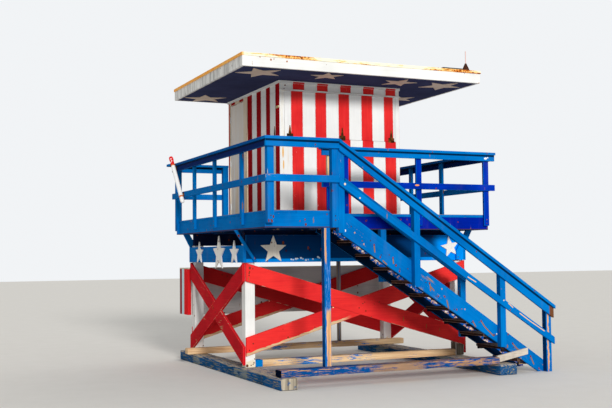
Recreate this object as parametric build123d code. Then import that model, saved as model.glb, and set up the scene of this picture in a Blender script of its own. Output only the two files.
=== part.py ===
"""Beach lifeguard tower: a striped cabin on a railed deck, on four braced legs and two skids."""
import math
import os

from build123d import *

# All sizes are in millimetres. X runs along the front, Y runs back, Z is up, the sand is Z = 0.

# Lumber sections
post = 89
leg = 140
plank = 38
two_by_four = 89
two_by_six = 140
two_by_eight = 184
two_by_ten = 235
two_by_twelve = 286
thin_board = 19

# Base
skid_length = 4250
skid_width = 230
right_skid_width = 288
right_skid_inset = 306
skid_height = 150
beam_depth = 140
beam_height = 95
front_beam_depth = 190
leg_set_back = 1344
front_beam_set_back = 50
frame_width = 3500
frame_depth = 2374
front_beam_left = -20
front_beam_short = 268
back_beam_reach = 167
prop_inset = 1044
landing_prop_inset = 187

# Legs and deck frame
band_bottom = 1574
panel_height = 376
front_star_radius = 200
small_star_radius = 165
large_star_radius = 262
side_star_radius = 175
joist_bottom = 2016
rail_reach = 177
recess_overhang = 433
landing_overhang = 1190
back_overhang = 266
front_knee_rise = 11
back_reach = 75
recess_reach = 83
joist_count = 8
brace_gap = 4
front_brace_low = 305
side_brace_low = 182
brace_cut = 250

# Railing
rail_top = 3157
mid_rail_top = 2680
cap_overhang = 13
post_foot_rise = 60
newel_inset = 18
recess_start = 119
butt_gap = 2

# Cabin
cabin_left = 717
cabin_width = 1986
cabin_set_back = 456
wall = 100
soffit_bottom = 4208
floor_board = 18
shutter_sill = 1142
shutter_head = 1825
shutter_side = 75
shutter_stile = 28
shutter_thickness = 30
shutter_gap = 4
door_jamb = 15
door_width = 616
door_head = 1885
door_thickness = 38
door_gap = 7
hinge_height = 102
knuckle_radius = 6.5
hinge_leaf = 2
hinge_reach = 33
running_gap = 0.3
strap_leaf = 100
strap_width = 26
strap_reach = 178
hinge_plate = 4
casing_depth = 14
casing_width = 160
back_casing_width = 54
ledge_height = 20
ledge_depth = 25

# Roof
roof_left = -165
roof_right = 3620
roof_front = -382
roof_back = 2776
soffit_thickness = 15
rafter_count = 6
roof_deck_thickness = 19
drip_height = 42
drip_reach = 10

# Stair
stair_slope = 0.67
stair_past_frame = 672
stair_run = 3351
stair_end_rise = 75
stair_foot_width = 212
stringer_drop = 223
tread_count = 11
tread_depth = 240
rail_slope = 0.6627
mid_slope = 0.6426
stair_mid_width = 100
mid_drop = 51
far_rail_rise = 531
far_rail_start = 449
rail_end_gap = 2
near_post_insets = (2255, 902)
end_post_inset = 137
far_post_insets = (2342, 1042)
tie_board_inset = 417
tie_board_drop = 93

# Roof fittings and rescue tube
mast_inset = 202
mast_foot_radius = 62
mast_neck_radius = 12
mast_foot_height = 115
mast_radius = 7
mast_height = 183
mast_set_back = 70
panel_size = (350, 155, 24)
panel_gap = 70
tube_radius = 32
tube_cap_length = 88
tube_end_round = 20
tube_low_inset = 620
tube_high_inset = 15

# Storage box on the back legs
box_height = 745
box_bottom = 740
box_depth = 460
box_left = -60
box_length = 3500
box_wall = 19

os.makedirs("parts", exist_ok=True)

deck_thickness = plank
deck_top = joist_bottom + two_by_eight + deck_thickness
rim_top = joist_bottom + two_by_eight
stair_end = frame_width + stair_past_frame
landing_right = stair_end - stair_run
stair_rail_end = stair_end - rail_end_gap
widest_left = rail_reach + plank + cap_overhang + back_reach
origin_x = (stair_end - widest_left) / 2
origin_y = skid_length / 2 - leg_set_back
half = 0.5


def block(x0, x1, y0, y1, z0, z1):
    """A box between two corners, measured from the front left leg's outer corner."""
    size = (x1 - x0, y1 - y0, z1 - z0)
    middle = ((x0 + x1) * half - origin_x, (y0 + y1) * half - origin_y, (z0 + z1) * half)
    return Pos(*middle) * Box(*size)


def sheet_xz(points, y0, y1):
    """A flat board cut to an outline in X and Z, from y0 back to y1."""
    outline = [(x - origin_x, z) for x, z in points]
    face = make_face(Polyline(*outline, close=True))
    plane = Plane(origin=(0, y1 - origin_y, 0), x_dir=(1, 0, 0), z_dir=(0, -1, 0))
    return extrude(plane * face, y1 - y0)


def sheet_yz(points, x0, x1):
    """A flat board cut to an outline in Y and Z, from x0 to x1."""
    outline = [(y - origin_y, z) for y, z in points]
    face = make_face(Polyline(*outline, close=True))
    plane = Plane(origin=(x0 - origin_x, 0, 0), x_dir=(0, 1, 0), z_dir=(1, 0, 0))
    return extrude(plane * face, x1 - x0)


def star_points(centre, radius, lean=0.0):
    """Ten corners of a five-pointed star standing on two points."""
    inner = radius * 0.42
    corners = []
    for k in range(10):
        reach = radius if k % 2 == 0 else inner
        turn = math.radians(90 + 36 * k + lean)
        corners.append((centre[0] + reach * math.cos(turn), centre[1] + reach * math.sin(turn)))
    return corners


def save(name, *shapes):
    """Write one node, made of one or more separate solids."""
    shape = shapes[0] if len(shapes) == 1 else Compound(children=list(shapes))
    export_step(shape, f"parts/{name}.step")


def posts(places, z0, z1):
    """Square posts standing at the given left and front edges."""
    return [block(x0, x0 + post, y0, y0 + post, z0, z1) for x0, y0 in places]


# Base: two skids, three cross beams and a loose tie board
skid_front = -leg_set_back
skid_back = skid_length - leg_set_back
left_skid_x = leg * half - skid_width * half
right_skid_x = frame_width - right_skid_inset
save("skids", block(left_skid_x, left_skid_x + skid_width, skid_front, skid_back, 0, skid_height),
     block(right_skid_x, right_skid_x + right_skid_width, skid_front, skid_back, 0, skid_height))
beam_top = skid_height + beam_height
front_beam_right = frame_width - front_beam_short
front_beam_y = skid_front + front_beam_set_back
back_beam_back = frame_depth - leg
save("cross_beams",
     block(front_beam_left, front_beam_right, front_beam_y, front_beam_y + front_beam_depth,
           skid_height, beam_top),
     block(leg, frame_width - leg, 0, beam_depth, skid_height, beam_top),
     block(-back_beam_reach, frame_width + back_beam_reach, back_beam_back - beam_depth, back_beam_back,
           skid_height, beam_top))

# Legs and the girders on top of them
girder_bottom = joist_bottom - two_by_eight
leg_boxes = []
for x0 in (0, frame_width - leg):
    for y0 in (0, frame_depth - leg):
        leg_boxes.append(block(x0, x0 + leg, y0, y0 + leg, skid_height, girder_bottom))
save("legs", *leg_boxes)
girders = []
for y0 in (leg * half - plank, frame_depth - leg * half - plank):
    girders.append(block(0, frame_width, y0, y0 + 2 * plank, girder_bottom, joist_bottom))
save("girders", *girders)

# Crossed braces: in each cross one board is whole and the other is cut in two against it
brace_top = band_bottom - brace_gap


def crossed(sheet, far, low, face):
    """The three boards of one cross, on a face that is far wide and starts at the depth face."""
    drop = brace_top - brace_cut
    whole = [(0, brace_top), (far, low + brace_cut), (far, low), (0, drop)]
    widened = [(0, brace_top + butt_gap), (far, low + brace_cut + butt_gap),
               (far, low - butt_gap), (0, drop - butt_gap)]
    other = [(0, low + brace_cut), (far, brace_top), (far, drop), (0, low)]
    cut_board = sheet(other, face, face + plank) - sheet(widened, face, face + plank)
    return [sheet(whole, face, face + plank)] + list(cut_board.solids())


save("front_back_x_braces", *crossed(sheet_xz, frame_width, front_brace_low, -plank),
     *crossed(sheet_xz, frame_width, front_brace_low, frame_depth))
save("side_x_braces", *crossed(sheet_yz, frame_depth, side_brace_low, -plank),
     *crossed(sheet_yz, frame_depth, side_brace_low, frame_width))
brace_back = frame_depth + plank
right_face = frame_width + plank

# Star panel in front, bands on the other three sides, and the cut-out stars
panel_top = band_bottom + panel_height
band_top = band_bottom + two_by_ten
save("front_star_panel", block(0, frame_width, -plank, 0, band_bottom, panel_top))
save("back_band", block(0, frame_width, frame_depth, brace_back, band_bottom, band_top))
save("side_bands", block(-plank, 0, -plank, brace_back, band_bottom, band_top),
     block(frame_width, right_face, -plank, brace_back, band_bottom, band_top))

# Knee braces between the legs and the outer rims
knee = [(-130, joist_bottom), (-30, joist_bottom), (150, joist_bottom - 306),
        (150, band_bottom + front_knee_rise), (95, band_bottom + front_knee_rise)]
mirrored_knee = [(frame_width - x, z) for x, z in reversed(knee)]
knee_front = -2 * plank
knee_back = brace_back + plank
save("knee_braces", sheet_xz(knee, knee_front, -plank), sheet_xz(mirrored_knee, knee_front, -plank),
     sheet_xz(knee, brace_back, knee_back), sheet_xz(mirrored_knee, brace_back, knee_back))

# Flat stars, the right-hand one cut to clear its knee brace
star_face = -plank - thin_board
front_left_star = (398, band_bottom + 174)
front_right_star = (frame_width - 246, band_bottom + 194)
stars = [sheet_xz(star_points(front_left_star, front_star_radius), star_face, -plank),
         sheet_xz(star_points(front_right_star, small_star_radius, 10), star_face, -plank)
         - sheet_xz(mirrored_knee, knee_front, -plank)]
for y, rise, radius in ((frame_depth - 514, 141, side_star_radius), (945, 126, large_star_radius),
                        (300, 134, side_star_radius)):
    stars.append(sheet_yz(star_points((y, band_bottom + rise), radius), star_face, -plank))
save("stars", *stars)

# Deck frame: joists, rim boards and floors
post_left = -rail_reach
post_right = frame_width + rail_reach
deck_left = post_left + plank
deck_right = post_right - plank
deck_front = -recess_overhang
deck_back = frame_depth + back_overhang
landing_front = -landing_overhang
joists = []
joist_span = (deck_right - deck_left - 3 * plank) / (joist_count - 1)
for k in range(joist_count):
    x0 = deck_left + plank + k * joist_span
    under_landing = x0 + plank < landing_right - plank
    front = (landing_front if under_landing else deck_front) + plank
    joists.append(block(x0, x0 + plank, front, deck_back - plank, joist_bottom, rim_top))
save("joists", *joists)
save("long_rims", block(post_left, landing_right, landing_front, landing_front + plank, joist_bottom, rim_top),
     block(landing_right, post_right, deck_front, deck_front + plank, joist_bottom, rim_top),
     block(post_left, post_right, deck_back - plank, deck_back, joist_bottom, rim_top))
landing_side = landing_front + plank
save("side_rims",
     block(deck_left, deck_left + plank, landing_side, deck_back - plank, joist_bottom, rim_top),
     block(deck_right - plank, deck_right, deck_front + plank, deck_back - plank, joist_bottom, rim_top),
     block(landing_right - plank, landing_right, landing_side, deck_front + plank, joist_bottom, rim_top))
save("deck_floor", block(deck_left, deck_right, deck_front, deck_back, rim_top, deck_top))
save("landing_floor", block(deck_left, landing_right, landing_front, deck_front, rim_top, deck_top))

# Props: a post under the landing and a thin one at the back
prop_front = landing_front
back_prop_y = back_beam_back - beam_depth + 25
landing_prop_x = landing_right - landing_prop_inset
prop_x = frame_width - prop_inset
save("props",
     block(landing_prop_x, landing_prop_x + post, prop_front, prop_front + post, beam_top, joist_bottom),
     block(prop_x, prop_x + plank, back_prop_y, back_prop_y + two_by_four, beam_top, girder_bottom - 2))

# Railing: posts outside the rims, two boards outside the posts, a flat cap on top
foot = joist_bottom + post_foot_rise
cap_bottom = rail_top - plank
left_board = post_left - plank
right_board = post_right + plank
landing_post_front = landing_front - post
landing_board = landing_post_front - plank
recess_post_front = deck_front - plank
recess_board = recess_post_front - plank
back_post_back = deck_back + post
back_board = back_post_back + plank
newel = landing_right - newel_inset
right_post_x = post_right - post
post_places = [(post_left, landing_post_front), (post_left, deck_back), (right_post_x, deck_back)]
far_rail_left = landing_right + far_rail_start
recess_posts = (landing_right + 209, far_rail_left, deck_right - 1199, right_post_x)
cabin_right = cabin_left + cabin_width
post_places += [(cabin_left - post - 8, deck_back), (cabin_right + 8, deck_back)]
side_posts = [(x, y) for x in (post_left, deck_right) for y in (757, deck_back - 932)]
side_posts.append((post_left, -356))
save("rail_posts", *posts(post_places, foot, cap_bottom),
     block(newel - post, newel, landing_post_front, landing_front, joist_bottom, cap_bottom),
     *[block(x, x + plank, y, y + post, foot, cap_bottom) for x, y in side_posts],
     *[block(x, x + post, recess_post_front, deck_front, foot, cap_bottom) for x in recess_posts])
recess_left = landing_right + recess_start
recess_right = post_right + recess_reach
back_left_end = cabin_left - 4
back_right_start = cabin_right + 4


def rail_runs(z0, z1):
    """The level boards of one height, along X and along Y."""
    along_x = [
        block(left_board, newel, landing_board, landing_post_front, z0, z1),
        block(recess_left, recess_right, recess_board, recess_post_front, z0, z1),
        block(post_left + butt_gap, back_left_end, back_post_back, back_board, z0, z1),
        block(back_right_start, post_right, back_post_back, back_board, z0, z1),
    ]
    along_y = [
        block(left_board, post_left, landing_post_front + butt_gap, back_board, z0, z1),
        block(post_right, right_board, recess_post_front + butt_gap, back_board, z0, z1),
    ]
    return along_x, along_y


top_x, top_y = rail_runs(cap_bottom - two_by_four, cap_bottom)
mid_x, mid_y = rail_runs(mid_rail_top - two_by_four, mid_rail_top)
save("front_back_rail_boards", *top_x, *mid_x)
save("side_rail_boards", *top_y, *mid_y)
cap_out = plank + cap_overhang
cap_left = post_left - cap_out
cap_right = post_right + cap_out
landing_cap = landing_post_front - cap_out
recess_cap = recess_post_front - cap_out
recess_cap_back = recess_cap + two_by_six
back_cap = back_post_back + cap_out
save("front_back_caps",
     block(cap_left, newel, landing_cap, landing_front, cap_bottom, rail_top),
     block(recess_left, recess_right + cap_overhang, recess_cap, recess_cap_back, cap_bottom, rail_top),
     block(cap_left - back_reach, back_left_end, deck_back, back_cap, cap_bottom, rail_top),
     block(back_right_start, cap_right + back_reach, deck_back, back_cap, cap_bottom, rail_top))
save("side_caps",
     block(cap_left, post_left + post, landing_front + butt_gap, deck_back - butt_gap, cap_bottom, rail_top),
     block(right_post_x, cap_right, recess_cap_back + butt_gap, deck_back - butt_gap, cap_bottom, rail_top))

# Stair: two stringers, open treads, posts, a capped rail on the near side, a plain one on the far side
stair_heel = stair_end - stair_foot_width


def stringer_top(x):
    return stair_end_rise + stair_slope * (stair_end - x)


flat_end = stair_end - (rim_top - stair_end_rise) / stair_slope
stringer = [(landing_right, rim_top - stringer_drop), (landing_right, rim_top), (flat_end, rim_top),
            (stair_end, stair_end_rise), (stair_end, 0), (stair_heel, 0)]
far_face = recess_board
far_inner = far_face - plank
near_inner = landing_front + plank
save("stringers", sheet_xz(stringer, landing_front, near_inner), sheet_xz(stringer, far_inner, far_face))
rise = deck_top / (tread_count + 1)
band = two_by_twelve / math.cos(math.atan(stair_slope)) / stair_slope
treads = []
for k in range(1, tread_count + 1):
    z1 = deck_top - k * rise
    middle = stair_end - (z1 - stair_end_rise) / stair_slope - band * half
    x0 = middle - tread_depth * half
    treads.append(block(x0, x0 + tread_depth, near_inner, far_inner, z1 - plank, z1))
save("stair_treads", *treads)


def stringer_low(x):
    return (rim_top - stringer_drop) * (stair_heel - x) / (stair_heel - landing_right)


def cap_low(x):
    return rail_top - rail_slope * (x - newel) - plank * math.hypot(1, rail_slope)


def near_mid_top(x):
    return mid_rail_top - mid_drop - mid_slope * (x - newel)


def leaning_top(x0, y0, z0, under):
    """A post whose top is cut to the slope of what lies on it."""
    outline = [(x0, z0), (x0 + post, z0), (x0 + post, under(x0 + post)), (x0, under(x0))]
    return sheet_xz(outline, y0, y0 + post)


def band_board(x0, x1, top, z_width):
    """A sloping board with upright ends, given its top line and upright width."""
    outline = [(x0, top(x0) - z_width), (x1, top(x1) - z_width), (x1, top(x1)), (x0, top(x0))]
    return outline


near_posts = [leaning_top(newel, landing_post_front, joist_bottom - 70, cap_low)]
for inset in near_post_insets:
    x0 = stair_end - inset
    near_posts.append(leaning_top(x0, landing_post_front, stringer_low(x0 + post), cap_low))
near_posts.append(leaning_top(stair_end - end_post_inset, landing_post_front, 0, cap_low))
rail_incline = math.hypot(1, rail_slope)
stair_cap = band_board(newel + butt_gap, stair_rail_end, lambda x: cap_low(x) + plank * rail_incline,
                       plank * rail_incline)
save("near_stair_cap", sheet_xz(stair_cap, landing_cap, landing_front))
stair_board = band_board(newel + butt_gap, stair_rail_end - 25, cap_low, two_by_six * rail_incline)
stair_mid = band_board(newel + butt_gap, stair_rail_end - 15, near_mid_top, stair_mid_width * math.hypot(1, mid_slope))
save("near_stair_boards", sheet_xz(stair_board, landing_board, landing_post_front),
     sheet_xz(stair_mid, landing_board, landing_post_front))


def far_low(x):
    return stringer_top(x) + far_rail_rise


far_width = two_by_six * math.hypot(1, stair_slope)
far_rail = band_board(far_rail_left, stair_rail_end, lambda x: far_low(x) + far_width, far_width)
save("far_stair_rail", sheet_xz(far_rail, far_inner, far_face))
high_x, far_x = (stair_end - inset for inset in far_post_insets)
far_posts = [block(high_x, high_x + post, far_face, far_face + post, stringer_low(high_x + post), joist_bottom)]
far_posts.append(leaning_top(far_x, far_face, stringer_low(far_x + post), lambda x: far_low(x) + far_width))
far_posts.append(leaning_top(stair_end - end_post_inset, far_face, 0, lambda x: far_low(x) + far_width))
save("stair_posts", *near_posts, *far_posts)
tie_left = front_beam_right + 6
tie_right = stair_end - tie_board_inset
tie = [(tie_left, skid_height + 11), (tie_right, beam_top + 10), (tie_right, beam_top + 10 + two_by_four),
       (tie_left, skid_height + 11 + tie_board_drop)]
save("loose_tie_board", sheet_xz(tie, landing_front - plank, landing_front))

# Cabin walls around the shutter and door openings
cabin_front = cabin_set_back
cabin_back = deck_back
inner_left = cabin_left + wall
inner_right = cabin_right - wall
inner_front = cabin_front + wall
inner_back = cabin_back - wall
sill = deck_top + shutter_sill
head = deck_top + shutter_head
front_hole = (cabin_left + shutter_side, cabin_right - shutter_side)
door_back = inner_back - door_jamb
door_front = door_back - door_width
side_hole = (cabin_front + shutter_side, door_front - casing_width - shutter_stile)
door_top = deck_top + door_head
cabin_front_wall = block(cabin_left, cabin_right, cabin_front, inner_front, deck_top, soffit_bottom)
cabin_front_wall -= block(front_hole[0], front_hole[1], cabin_front, inner_front, sill, head)
save("cabin_front_wall", cabin_front_wall)
save("cabin_back_wall", block(cabin_left, cabin_right, inner_back, cabin_back, deck_top, soffit_bottom))
side_hole_front = max(side_hole[0], inner_front)
left_wall = block(cabin_left, inner_left, inner_front, inner_back, deck_top, soffit_bottom)
left_wall -= block(cabin_left, inner_left, side_hole_front, side_hole[1], sill, head)
left_wall -= block(cabin_left, inner_left, door_front, min(door_back, inner_back), deck_top, door_top)
save("cabin_left_wall", left_wall)
right_wall = block(inner_right, cabin_right, inner_front, inner_back, deck_top, soffit_bottom)
right_wall -= block(inner_right, cabin_right, side_hole_front, side_hole[1], sill, head)
save("cabin_right_wall", right_wall)
save("cabin_floor", block(inner_left, inner_right, inner_front, inner_back, deck_top, deck_top + floor_board))

# Shutters, set flush in their openings, with three strap hinges each
low = sill + shutter_gap
high = head - shutter_gap
save("front_shutter", block(front_hole[0] + shutter_gap, front_hole[1] - shutter_gap, cabin_front,
                            cabin_front + shutter_thickness, low, high))
side_low = side_hole_front + shutter_gap
side_high = side_hole[1] - shutter_gap
save("side_shutters", block(cabin_left, cabin_left + shutter_thickness, side_low, side_high, low, high),
     block(cabin_right - shutter_thickness, cabin_right, side_low, side_high, low, high))


def strap(place):
    """Outline of one strap hinge: a leaf on the wall and a pointed strap up the shutter."""
    half_leaf = strap_leaf * half
    base = sill - strap_leaf * 0.12
    neck = sill + strap_leaf * 0.14
    shoulder = sill + strap_leaf * 0.3
    tip = sill + strap_reach
    return [(place - half_leaf, base), (place + half_leaf, base), (place + half_leaf, neck),
            (place + strap_width, shoulder), (place + strap_width * 0.25, tip),
            (place - strap_width * 0.25, tip), (place - strap_width, shoulder), (place - half_leaf, neck)]


front_hinge_places = (cabin_left + 162, (cabin_left + cabin_right) * half + 18, cabin_right - 143)
side_hinge_places = (side_low + 80, side_high - 80)
save("shutter_hinges",
     *[sheet_xz(strap(x), cabin_front - hinge_plate, cabin_front) for x in front_hinge_places],
     *[sheet_yz(strap(y), cabin_left - hinge_plate, cabin_left) for y in side_hinge_places],
     *[sheet_yz(strap(y), cabin_right, cabin_right + hinge_plate) for y in side_hinge_places])

# Door and its casing
save("door", block(cabin_left, cabin_left + door_thickness, door_front + door_gap, door_back - door_gap,
                   deck_top + 10, door_top - door_gap))
save("door_pull", block(cabin_left - 30, cabin_left, door_front + 40, door_front + 58,
                        deck_top + 930, deck_top + 1060))
hinge_x = cabin_left - knuckle_radius - 1.5
hinge_y = door_back + 1
knuckle = hinge_height / 3


def knuckle_bar(z0, z1):
    """One knuckle of a hinge on the door's axis."""
    return Pos(hinge_x - origin_x, hinge_y - origin_y, (z0 + z1) * half) * Cylinder(knuckle_radius, z1 - z0)


wall_leaves = []
door_leaves = []
leaf_end = cabin_left + hinge_reach
for z in (deck_top + 180, deck_top + door_head * half - hinge_height * half, door_top - 180 - hinge_height):
    lower = z + knuckle - running_gap
    upper = z + 2 * knuckle + running_gap
    wall_plate = block(hinge_x, leaf_end, door_back - hinge_leaf, door_back, z, lower)
    wall_plate += block(hinge_x, leaf_end, door_back - hinge_leaf, door_back, upper, z + hinge_height)
    wall_plate += block(cabin_left, leaf_end, door_back - hinge_leaf, door_back, z, z + hinge_height)
    wall_leaves.append(wall_plate + knuckle_bar(z, lower) + knuckle_bar(upper, z + hinge_height))
    door_edge = door_back - door_gap
    door_plate = block(cabin_left, leaf_end, door_edge, door_edge + hinge_leaf, z, z + hinge_height)
    door_plate += block(hinge_x, leaf_end, door_edge, door_edge + hinge_leaf,
                        lower + running_gap, upper - running_gap)
    door_leaves.append(door_plate + knuckle_bar(lower + running_gap, upper - running_gap))
save("hinge_wall_leaves", *wall_leaves)
save("hinge_door_leaves", *door_leaves)
casing = cabin_left - casing_depth
save("door_casing",
     block(casing, cabin_left, door_front - casing_width, door_front, deck_top, door_top + 40),
     block(casing, cabin_left, door_back + 8, door_back + 8 + back_casing_width, deck_top, door_top + 40),
     block(casing, cabin_left, door_front + butt_gap, door_back, door_top, door_top + 40))

# Trims: a ledge over the front shutter and a narrow strip under the soffit
ledge_bottom = head
save("front_ledge", block(cabin_left, cabin_right, cabin_front - ledge_depth, cabin_front,
                          ledge_bottom, ledge_bottom + ledge_height))
trim = casing_depth
trim_bottom = soffit_bottom - plank
save("top_trims",
     block(cabin_left - trim, cabin_right + trim, cabin_front - trim, cabin_front, trim_bottom, soffit_bottom),
     block(cabin_left - trim, cabin_right + trim, cabin_back, cabin_back + trim, trim_bottom, soffit_bottom),
     block(cabin_left - trim, cabin_left, cabin_front + butt_gap, cabin_back - butt_gap,
           trim_bottom, soffit_bottom),
     block(cabin_right, cabin_right + trim, cabin_front + butt_gap, cabin_back - butt_gap,
           trim_bottom, soffit_bottom))

# Roof: soffit, rafters, deck, fascia and drip strip
soffit_top = soffit_bottom + soffit_thickness
roof_top = soffit_bottom + two_by_eight
roof_deck_bottom = roof_top - roof_deck_thickness
in_left = roof_left + plank
in_right = roof_right - plank
in_front = roof_front + plank
in_back = roof_back - plank
save("soffit", block(in_left, in_right, in_front, in_back, soffit_bottom, soffit_top))
rafters = []
rafter_span = (in_right - in_left - plank) / (rafter_count - 1)
for k in range(rafter_count):
    x0 = in_left + k * rafter_span
    rafters.append(block(x0, x0 + plank, in_front, in_back, soffit_top, roof_deck_bottom))
save("rafters", *rafters)
save("roof_deck", block(in_left, in_right, in_front, in_back, roof_deck_bottom, roof_top))
save("long_fascias", block(roof_left, roof_right, roof_front, in_front, soffit_bottom, roof_top),
     block(roof_left, roof_right, in_back, roof_back, soffit_bottom, roof_top))
save("side_fascias", block(roof_left, in_left, in_front, in_back, soffit_bottom, roof_top),
     block(in_right, roof_right, in_front, in_back, soffit_bottom, roof_top))
drip_bottom = roof_top - drip_height
drip_left = roof_left - drip_reach
drip_right = roof_right + drip_reach
drip_front = roof_front - drip_reach
drip_back = roof_back + drip_reach
save("drip_edges", block(drip_left, drip_right, drip_front, roof_front, drip_bottom, roof_top),
     block(drip_left, drip_right, roof_back, drip_back, drip_bottom, roof_top),
     block(drip_left, roof_left, roof_front + butt_gap, roof_back - butt_gap, drip_bottom, roof_top),
     block(roof_right, drip_right, roof_front + butt_gap, roof_back - butt_gap, drip_bottom, roof_top))

# Roof fittings at the front right
mast_x = roof_right - mast_inset
mast_y = roof_front + mast_set_back
foot_middle = roof_top + mast_foot_height * half
mast_foot = Pos(mast_x - origin_x, mast_y - origin_y, foot_middle) * Cone(mast_foot_radius, mast_neck_radius,
                                                                      mast_foot_height)
mast_middle = roof_top + mast_foot_height + mast_height * half
mast_rod = Pos(mast_x - origin_x, mast_y - origin_y, mast_middle) * Cylinder(mast_radius, mast_height)
save("roof_mast", mast_foot + mast_rod)
panel_right = mast_x - panel_gap
panel_front = mast_y - 45
save("roof_flat_panel", block(panel_right - panel_size[0], panel_right, panel_front,
                              panel_front + panel_size[1], roof_top, roof_top + panel_size[2]))

# Rescue tube strapped outside the left rail, near the back corner
tube_x = cap_left - 4 - tube_radius
tube_low = (deck_back - tube_low_inset, deck_top + 262)
tube_high = (deck_back - tube_high_inset, rail_top + 58)
tube_length = math.dist(tube_low, tube_high)
tube_lean = math.degrees(math.atan2(tube_low[0] - tube_high[0], tube_high[1] - tube_low[1]))


def along_tube(radius, start, length, rounded):
    """A round bar on the tube's slanting axis, with its lower or upper end rounded."""
    bar = Pos(0, 0, start + length * half) * Cylinder(radius, length)
    bar = fillet(bar.edges().group_by(Axis.Z)[rounded], tube_end_round)
    foot_place = Pos(tube_x - origin_x, tube_low[0] - origin_y, tube_low[1])
    return foot_place * Rot(tube_lean, 0, 0) * bar


save("rescue_tube", along_tube(tube_radius, 0, tube_length, 0))
save("tube_cap", along_tube(tube_radius + 3, tube_length, tube_cap_length, -1))
brackets = []
for z in (mid_rail_top - two_by_four * half, cap_bottom - two_by_four * half):
    y = tube_low[0] + (z - tube_low[1]) * (tube_high[0] - tube_low[0]) / (tube_high[1] - tube_low[1])
    brackets.append(block(tube_x + tube_radius, left_board, y - 25, y + 25, z - 30, z + 30))
save("tube_brackets", *brackets)

# Storage box behind the back legs
box_top = box_bottom + box_height
box_front = brace_back
box_shell = block(box_left, box_left + box_length, box_front, box_front + box_depth, box_bottom,
                  box_top - box_wall)
box_hollow = block(box_left + box_wall, box_left + box_length - box_wall, box_front + box_wall,
                   box_front + box_depth - box_wall, box_bottom + box_wall, box_top)
save("storage_box", box_shell - box_hollow)
save("storage_box_lid", block(box_left, box_left + box_length, box_front, box_front + box_depth,
                              box_top - box_wall, box_top))
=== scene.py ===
"""Dresses the lifeguard tower: paint, bare wood, rust, stars under the roof and small fittings.

All lengths are metres. Places are measured from the outer corner of the front left leg, with x to the
right, y to the back and z up from the floor. Corners of CAD pieces are turned into the same measure.
"""
import math
from functools import reduce

import bmesh
import bpy
import numpy as np
from mathutils import Matrix, Vector


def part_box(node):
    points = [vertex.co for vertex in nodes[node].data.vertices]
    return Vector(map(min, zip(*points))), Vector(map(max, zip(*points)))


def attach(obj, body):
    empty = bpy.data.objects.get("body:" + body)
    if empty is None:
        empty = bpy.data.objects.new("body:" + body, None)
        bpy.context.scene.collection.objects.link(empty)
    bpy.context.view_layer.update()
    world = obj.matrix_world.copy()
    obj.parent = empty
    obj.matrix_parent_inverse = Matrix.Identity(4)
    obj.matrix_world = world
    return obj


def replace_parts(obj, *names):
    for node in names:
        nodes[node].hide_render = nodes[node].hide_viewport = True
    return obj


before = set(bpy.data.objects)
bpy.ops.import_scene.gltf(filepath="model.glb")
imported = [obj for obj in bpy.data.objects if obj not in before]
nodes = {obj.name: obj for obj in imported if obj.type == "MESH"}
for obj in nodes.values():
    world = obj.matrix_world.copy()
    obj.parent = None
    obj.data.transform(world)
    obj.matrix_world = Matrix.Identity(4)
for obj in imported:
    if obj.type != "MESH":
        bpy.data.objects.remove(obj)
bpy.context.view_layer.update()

CORNER = np.array([-1.9345, -0.781, 0.0])
LEGS_WIDE = 3.5
STAIR_SLOPE = 0.67
RAIL_SLOPE = 0.6627


def corners(node):
    """A CAD node's lowest and highest corner, measured from the front left leg."""
    lowest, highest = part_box(node)
    return np.array(lowest) - CORNER, np.array(highest) - CORNER


def tone(code):
    """The light that Blender mixes for a colour, given as a screen's six-figure code."""
    shares = (int(code[at:at + 2], 16) / 255 for at in (0, 2, 4))
    linear = (share / 12.92 if share < 0.04045 else ((share + 0.055) / 1.055) ** 2.4 for share in shares)
    return (*linear, 1.0)


BOX_LEFT = float(corners("storage_box")[0][0])
DECK_TOP = float(corners("deck_floor")[1][2])
SOFFIT_LOW = float(corners("soffit")[0][2])
ROOF_TOP = float(corners("roof_deck")[1][2])
CAP_BOTTOM = float(corners("side_caps")[0][2])
RIM_BOTTOM = float(corners("long_rims")[0][2])
PROP_LEFT = float(corners("props")[0][0])
skid_low, skid_high = corners("skids")
beam_low, beam_high = corners("cross_beams")
knee_low, knee_high = corners("knee_braces")
near_low, near_high = corners("near_stair_boards")
far_low, far_high = corners("far_stair_rail")
CAP_LINE = float(near_high[2] + near_low[0] * RAIL_SLOPE)
RAIL_RIGHT, RAIL_BACK = float(near_high[0]), float(near_high[1])

# Coats of paint and bare woods, each a light and a deep tone, and then single colours
SKY = "0077c5", "0061ab"
SEA = "0034b0", "002488"
# The sky blue darkened as painted shade, for the caps along the sides
SIDE_CAP_SHADE = "005ca4", "00488c"
REDS = "f43834", "d6262a"
# The red darkened as painted shade, for the side walls, their shutters and other red faces turned from the
# light
SHADED_REDS = "aa0c16", "8e0812"
WHITES = "f6f5f1", "e2e1dc"
WOODS = "cda87c", "7e624a"
# LIT_BLUE is painted light; SHADE_BLUE is painted shade; NIGHT_BLUE is painted shade under the caps, on
# the far stair side and at a beam's end
LIT_BLUE = "0092f6"
SHADE_BLUE = "042250"
NIGHT_BLUE = "020e24"
BACK_RED = "c41820"
RUST = "74300c"
RUST_RUN = "966834"
ORANGE = "e0802c"
# The dark of rusted steel, and painted shade in a bolt hole on the front brace
DARK_RUST_AND_SHADE = "1c1612"


def maths(operation, turned_round=False):
    """A method for a Wire that adds one Math node, the wire's own value last where it is turned round."""
    def method(self, *others):
        return self.look.sums(operation, *((*others, self) if turned_round else (self, *others)))
    return method


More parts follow.
